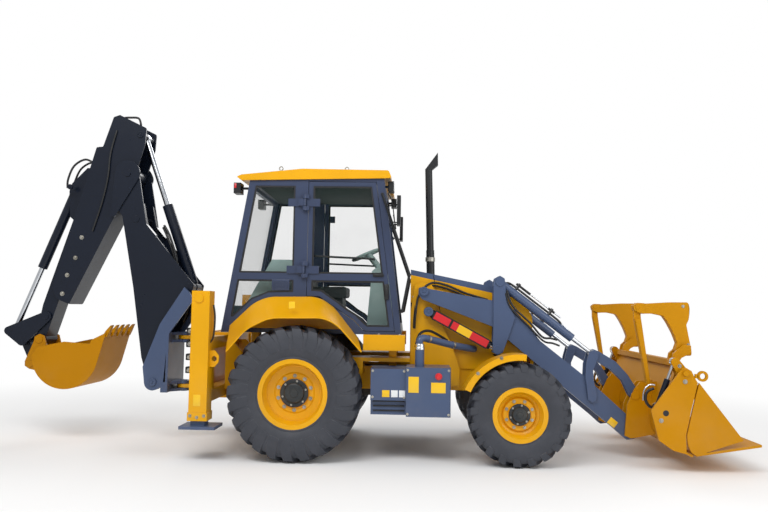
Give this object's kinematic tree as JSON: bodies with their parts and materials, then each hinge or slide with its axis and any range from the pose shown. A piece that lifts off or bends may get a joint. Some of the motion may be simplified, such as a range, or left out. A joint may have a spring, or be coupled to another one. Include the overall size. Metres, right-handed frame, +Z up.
{
  "type": "backhoe loader",
  "caption": "Wheeled backhoe loader with a sideshift digging arm on slide rails, telescopic dipper, two drop legs and a clamshell loader bucket with flip-over forks.",
  "frame": {"origin": "on the ground under the middle of the machine's length and width", "axes": "+X forward to the loader bucket, +Y to the machine's left, +Z up"},
  "size_m": [7.798, 2.45, 3.6188],
  "materials": {
    "yellow_paint": "gloss",
    "ochre_paint": "satin",
    "slate_paint": "satin",
    "dark_paint": "satin",
    "black_paint": "satin",
    "chrome_rod": "polished",
    "tyre_rubber": "matte",
    "tinted_glass": "polished",
    "cast_block": "rough",
    "cab_trim": "matte"
  },
  "bodies": {
    "chassis": {"main_frame": "yellow_paint", "rear_axle": "black_paint", "front_axle": "black_paint", "rear_frame": "yellow_paint", "engine": "cast_block", "cowl": "yellow_paint", "cowl_lid": "slate_paint", "exhaust": "black_paint", "side_tanks": "slate_paint", "cab_frame": "slate_paint", "cab_glass": "tinted_glass", "cab_roof": "yellow_paint", "cab_fittings": "black_paint", "cab_interior": "cab_trim", "rear_fenders": "yellow_paint"},
    "hood": {"hood": "yellow_paint", "hood_lid": "slate_paint"},
    "door_left": {"door_left": "slate_paint", "door_glass_left": "tinted_glass"},
    "door_right": {"door_right": "slate_paint", "door_glass_right": "tinted_glass"},
    "rear_wheel_left": {"rear_tyre_left": "tyre_rubber", "rear_rim_left": "yellow_paint"},
    "rear_wheel_right": {"rear_tyre_right": "tyre_rubber", "rear_rim_right": "yellow_paint"},
    "front_wheel_left": {"front_tyre_left": "tyre_rubber", "front_rim_left": "yellow_paint"},
    "front_wheel_right": {"front_tyre_right": "tyre_rubber", "front_rim_right": "yellow_paint"},
    "knuckle_left": {"knuckle_left": "yellow_paint"},
    "knuckle_right": {"knuckle_right": "yellow_paint"},
    "loader_arms": {"loader_arms": "slate_paint"},
    "lift_barrels": {"lift_barrels": "black_paint"},
    "lift_rods": {"lift_rods": "chrome_rod"},
    "tilt_levers": {"tilt_levers": "slate_paint"},
    "tilt_links": {"tilt_links": "slate_paint"},
    "tilt_barrels": {"tilt_barrels": "slate_paint"},
    "tilt_rods": {"tilt_rods": "chrome_rod"},
    "loader_bucket": {"loader_bucket": "ochre_paint"},
    "bucket_clam": {"bucket_clam": "ochre_paint"},
    "clam_barrels": {"clam_barrels": "dark_paint"},
    "clam_rods": {"clam_rods": "chrome_rod"},
    "forks": {"forks": "ochre_paint"},
    "fork_tines": {"fork_tines": "ochre_paint"},
    "carriage": {"carriage": "yellow_paint"},
    "kingpost": {"kingpost": "slate_paint"},
    "boom": {"boom": "dark_paint"},
    "boom_barrel": {"boom_barrel": "dark_paint"},
    "boom_rod": {"boom_rod": "chrome_rod"},
    "dipper": {"dipper": "dark_paint"},
    "crowd_barrel": {"crowd_barrel": "dark_paint"},
    "crowd_rod": {"crowd_rod": "chrome_rod"},
    "inner_dipper": {"inner_dipper": "dark_paint"},
    "hoe_barrel": {"hoe_barrel": "dark_paint"},
    "hoe_rod": {"hoe_rod": "chrome_rod"},
    "rocker": {"rocker": "dark_paint"},
    "hoe_link": {"hoe_link": "dark_paint"},
    "hoe_bucket": {"hoe_bucket": "ochre_paint"},
    "stabiliser_left": {"stabiliser_left": "slate_paint"},
    "stabiliser_right": {"stabiliser_right": "slate_paint"}
  },
  "joints": [
    {"name": "rear_wheel_left_spin", "type": "hinge", "parent": "chassis", "child": "rear_wheel_left", "pos_m": [-0.5, 0.93, 0.657], "axis": [0, 1, 0], "continuous": true},
    {"name": "steer_left", "type": "hinge", "parent": "chassis", "child": "knuckle_left", "pos_m": [1.68, 0.85, 0.498], "axis": [0, 0, 1], "range_deg": [-35, 35]},
    {"name": "front_wheel_left_spin", "type": "hinge", "parent": "knuckle_left", "child": "front_wheel_left", "pos_m": [1.68, 0.975, 0.498], "axis": [0, 1, 0], "continuous": true},
    {"name": "door_left_swing", "type": "hinge", "parent": "chassis", "child": "door_left", "pos_m": [-0.48, 0.76, 2.2], "axis": [0, 0, 1], "range_deg": [0, 90]},
    {"name": "stabiliser_left_drop", "type": "slide", "parent": "chassis", "child": "stabiliser_left", "axis": [0, 0, -1], "range_m": [0, 0.55]},
    {"name": "rear_wheel_right_spin", "type": "hinge", "parent": "chassis", "child": "rear_wheel_right", "pos_m": [-0.5, -0.93, 0.657], "axis": [0, 1, 0], "continuous": true},
    {"name": "steer_right", "type": "hinge", "parent": "chassis", "child": "knuckle_right", "pos_m": [1.68, -0.85, 0.498], "axis": [0, 0, 1], "range_deg": [-35.1, 35.1]},
    {"name": "front_wheel_right_spin", "type": "hinge", "parent": "knuckle_right", "child": "front_wheel_right", "pos_m": [1.68, -0.975, 0.498], "axis": [0, 1, 0], "continuous": true},
    {"name": "door_right_swing", "type": "hinge", "parent": "chassis", "child": "door_right", "pos_m": [-0.48, -0.76, 2.2], "axis": [0, 0, -1], "range_deg": [0, 90]},
    {"name": "stabiliser_right_drop", "type": "slide", "parent": "chassis", "child": "stabiliser_right", "axis": [0, 0, -1], "range_m": [0, 0.55]},
    {"name": "hood_tilt", "type": "hinge", "parent": "chassis", "child": "hood", "pos_m": [1.85, 0, 1.04], "axis": [0, 1, 0], "range_deg": [0, 50]},
    {"name": "arm_lift", "type": "hinge", "parent": "chassis", "child": "loader_arms", "pos_m": [0.759, 0, 1.677], "axis": [0, -1, 0], "range_deg": [-4, 79]},
    {"name": "lift_barrel_swing", "type": "hinge", "parent": "chassis", "child": "lift_barrels", "pos_m": [0.808, 0, 1.467], "axis": [0, -1, 0], "range_deg": [-4.1, 80.6]},
    {"name": "lift_rod_slide", "type": "slide", "parent": "lift_barrels", "child": "lift_rods", "axis": [0.8827, 0, -0.4699], "range_m": [-0.0144, 0.2742]},
    {"name": "bucket_tilt", "type": "hinge", "parent": "loader_arms", "child": "loader_bucket", "pos_m": [2.866, 0, 0.286], "axis": [0, -1, 0], "range_deg": [-130, 30]},
    {"name": "tilt_lever_swing", "type": "hinge", "parent": "loader_arms", "child": "tilt_levers", "pos_m": [2.477, 0, 0.62], "axis": [0, -1, 0], "range_deg": [-101.42, 23.42]},
    {"name": "tilt_link_swing", "type": "hinge", "parent": "tilt_levers", "child": "tilt_links", "pos_m": [2.499, 0, 1.057], "axis": [0, -1, 0], "range_deg": [-19.22, 83.22]},
    {"name": "tilt_barrel_swing", "type": "hinge", "parent": "loader_arms", "child": "tilt_barrels", "pos_m": [1.54, 0, 1.784], "axis": [0, -1, 0], "range_deg": [-2.62, 0.62]},
    {"name": "tilt_rod_slide", "type": "slide", "parent": "tilt_barrels", "child": "tilt_rods", "axis": [0.7969, 0, -0.6041], "range_m": [-0.1576, 0.6812]},
    {"name": "clam_open", "type": "hinge", "parent": "loader_bucket", "child": "bucket_clam", "pos_m": [3.208, 0, 0.929], "axis": [0, -1, 0], "range_deg": [0, 65]},
    {"name": "clam_barrel_swing", "type": "hinge", "parent": "loader_bucket", "child": "clam_barrels", "pos_m": [2.98, 0, 0.6], "axis": [0, -1, 0], "range_deg": [0, 3.27]},
    {"name": "clam_rod_slide", "type": "slide", "parent": "clam_barrels", "child": "clam_rods", "axis": [0.3487, 0, 0.9372], "range_m": [-0.1311, 0]},
    {"name": "fork_flip", "type": "hinge", "parent": "loader_bucket", "child": "forks", "pos_m": [3.312, 0, 1.147], "axis": [0, -1, 0], "range_deg": [-180, 0]},
    {"name": "tine_fold", "type": "hinge", "parent": "forks", "child": "fork_tines", "pos_m": [2.852, 0, 1.545], "axis": [0, -1, 0], "range_deg": [-89, 0]},
    {"name": "sideshift", "type": "slide", "parent": "chassis", "child": "carriage", "axis": [0, 1, 0], "range_m": [-0.55, 0.55]},
    {"name": "boom_swing", "type": "hinge", "parent": "carriage", "child": "kingpost", "pos_m": [-1.9, 0, 0.9], "axis": [0, 0, 1], "range_deg": [-90, 90]},
    {"name": "boom_lower", "type": "hinge", "parent": "kingpost", "child": "boom", "pos_m": [-2.159, 0, 0.661], "axis": [0, -1, 0], "range_deg": [0, 125]},
    {"name": "boom_barrel_swing", "type": "hinge", "parent": "kingpost", "child": "boom_barrel", "pos_m": [-2.09, 0, 1.03], "axis": [0, -1, 0], "range_deg": [0, 125.98]},
    {"name": "boom_rod_slide", "type": "slide", "parent": "boom_barrel", "child": "boom_rod", "axis": [-0.2391, 0, 0.971], "range_m": [0, 0.6659]},
    {"name": "dipper_reach", "type": "hinge", "parent": "boom", "child": "dipper", "pos_m": [-2.547, 0, 2.952], "axis": [0, -1, 0], "range_deg": [-115, 0]},
    {"name": "crowd_barrel_swing", "type": "hinge", "parent": "boom", "child": "crowd_barrel", "pos_m": [-1.818, 0, 1.695], "axis": [0, -1, 0], "range_deg": [-5.77, 0]},
    {"name": "crowd_rod_slide", "type": "slide", "parent": "crowd_barrel", "child": "crowd_rod", "axis": [-0.3412, 0, 0.94], "range_m": [-0.7712, 0]},
    {"name": "dipper_extend", "type": "slide", "parent": "dipper", "child": "inner_dipper", "axis": [-0.3007, 0, -0.9537], "range_m": [0, 1.2]},
    {"name": "hoe_bucket_open", "type": "hinge", "parent": "inner_dipper", "child": "hoe_bucket", "pos_m": [-3.478, 0, 1.093], "axis": [0, -1, 0], "range_deg": [-130, 0]},
    {"name": "rocker_swing", "type": "hinge", "parent": "inner_dipper", "child": "rocker", "pos_m": [-3.43, 0, 1.344], "axis": [0, -1, 0], "range_deg": [-87.12, 0]},
    {"name": "hoe_link_swing", "type": "hinge", "parent": "rocker", "child": "hoe_link", "pos_m": [-3.692, 0, 1.064], "axis": [0, -1, 0], "range_deg": [0, 75.42]},
    {"name": "hoe_barrel_swing", "type": "hinge", "parent": "inner_dipper", "child": "hoe_barrel", "pos_m": [-3.211, 0, 2.798], "axis": [0, -1, 0], "range_deg": [-3.92, 0]},
    {"name": "hoe_rod_slide", "type": "slide", "parent": "hoe_barrel", "child": "hoe_rod", "axis": [-0.3677, 0, -0.9299], "range_m": [-0.6199, 0]}
  ],
  "couplings": [
    {"joint": "steer_right", "follows": "steer_left", "ratio": 1},
    {"joint": "lift_barrel_swing", "follows": "arm_lift", "ratio": 1.02},
    {"joint": "lift_rod_slide", "follows": "arm_lift", "m_per_rad": 0.1985},
    {"joint": "tilt_lever_swing", "follows": "bucket_tilt", "ratio": 0.78},
    {"joint": "tilt_link_swing", "follows": "bucket_tilt", "ratio": -0.64},
    {"joint": "tilt_barrel_swing", "follows": "bucket_tilt", "ratio": 0.02},
    {"joint": "tilt_rod_slide", "follows": "bucket_tilt", "m_per_rad": -0.3},
    {"joint": "clam_barrel_swing", "follows": "clam_open", "ratio": 0.05},
    {"joint": "clam_rod_slide", "follows": "clam_open", "m_per_rad": -0.1151},
    {"joint": "boom_barrel_swing", "follows": "boom_lower", "ratio": 1.0077},
    {"joint": "boom_rod_slide", "follows": "boom_lower", "m_per_rad": 0.305},
    {"joint": "crowd_barrel_swing", "follows": "dipper_reach", "ratio": 0.05},
    {"joint": "crowd_rod_slide", "follows": "dipper_reach", "m_per_rad": 0.384},
    {"joint": "rocker_swing", "follows": "hoe_bucket_open", "ratio": 0.67},
    {"joint": "hoe_link_swing", "follows": "hoe_bucket_open", "ratio": -0.58},
    {"joint": "hoe_barrel_swing", "follows": "hoe_bucket_open", "ratio": 0.03},
    {"joint": "hoe_rod_slide", "follows": "hoe_bucket_open", "m_per_rad": 0.273}
  ]
}
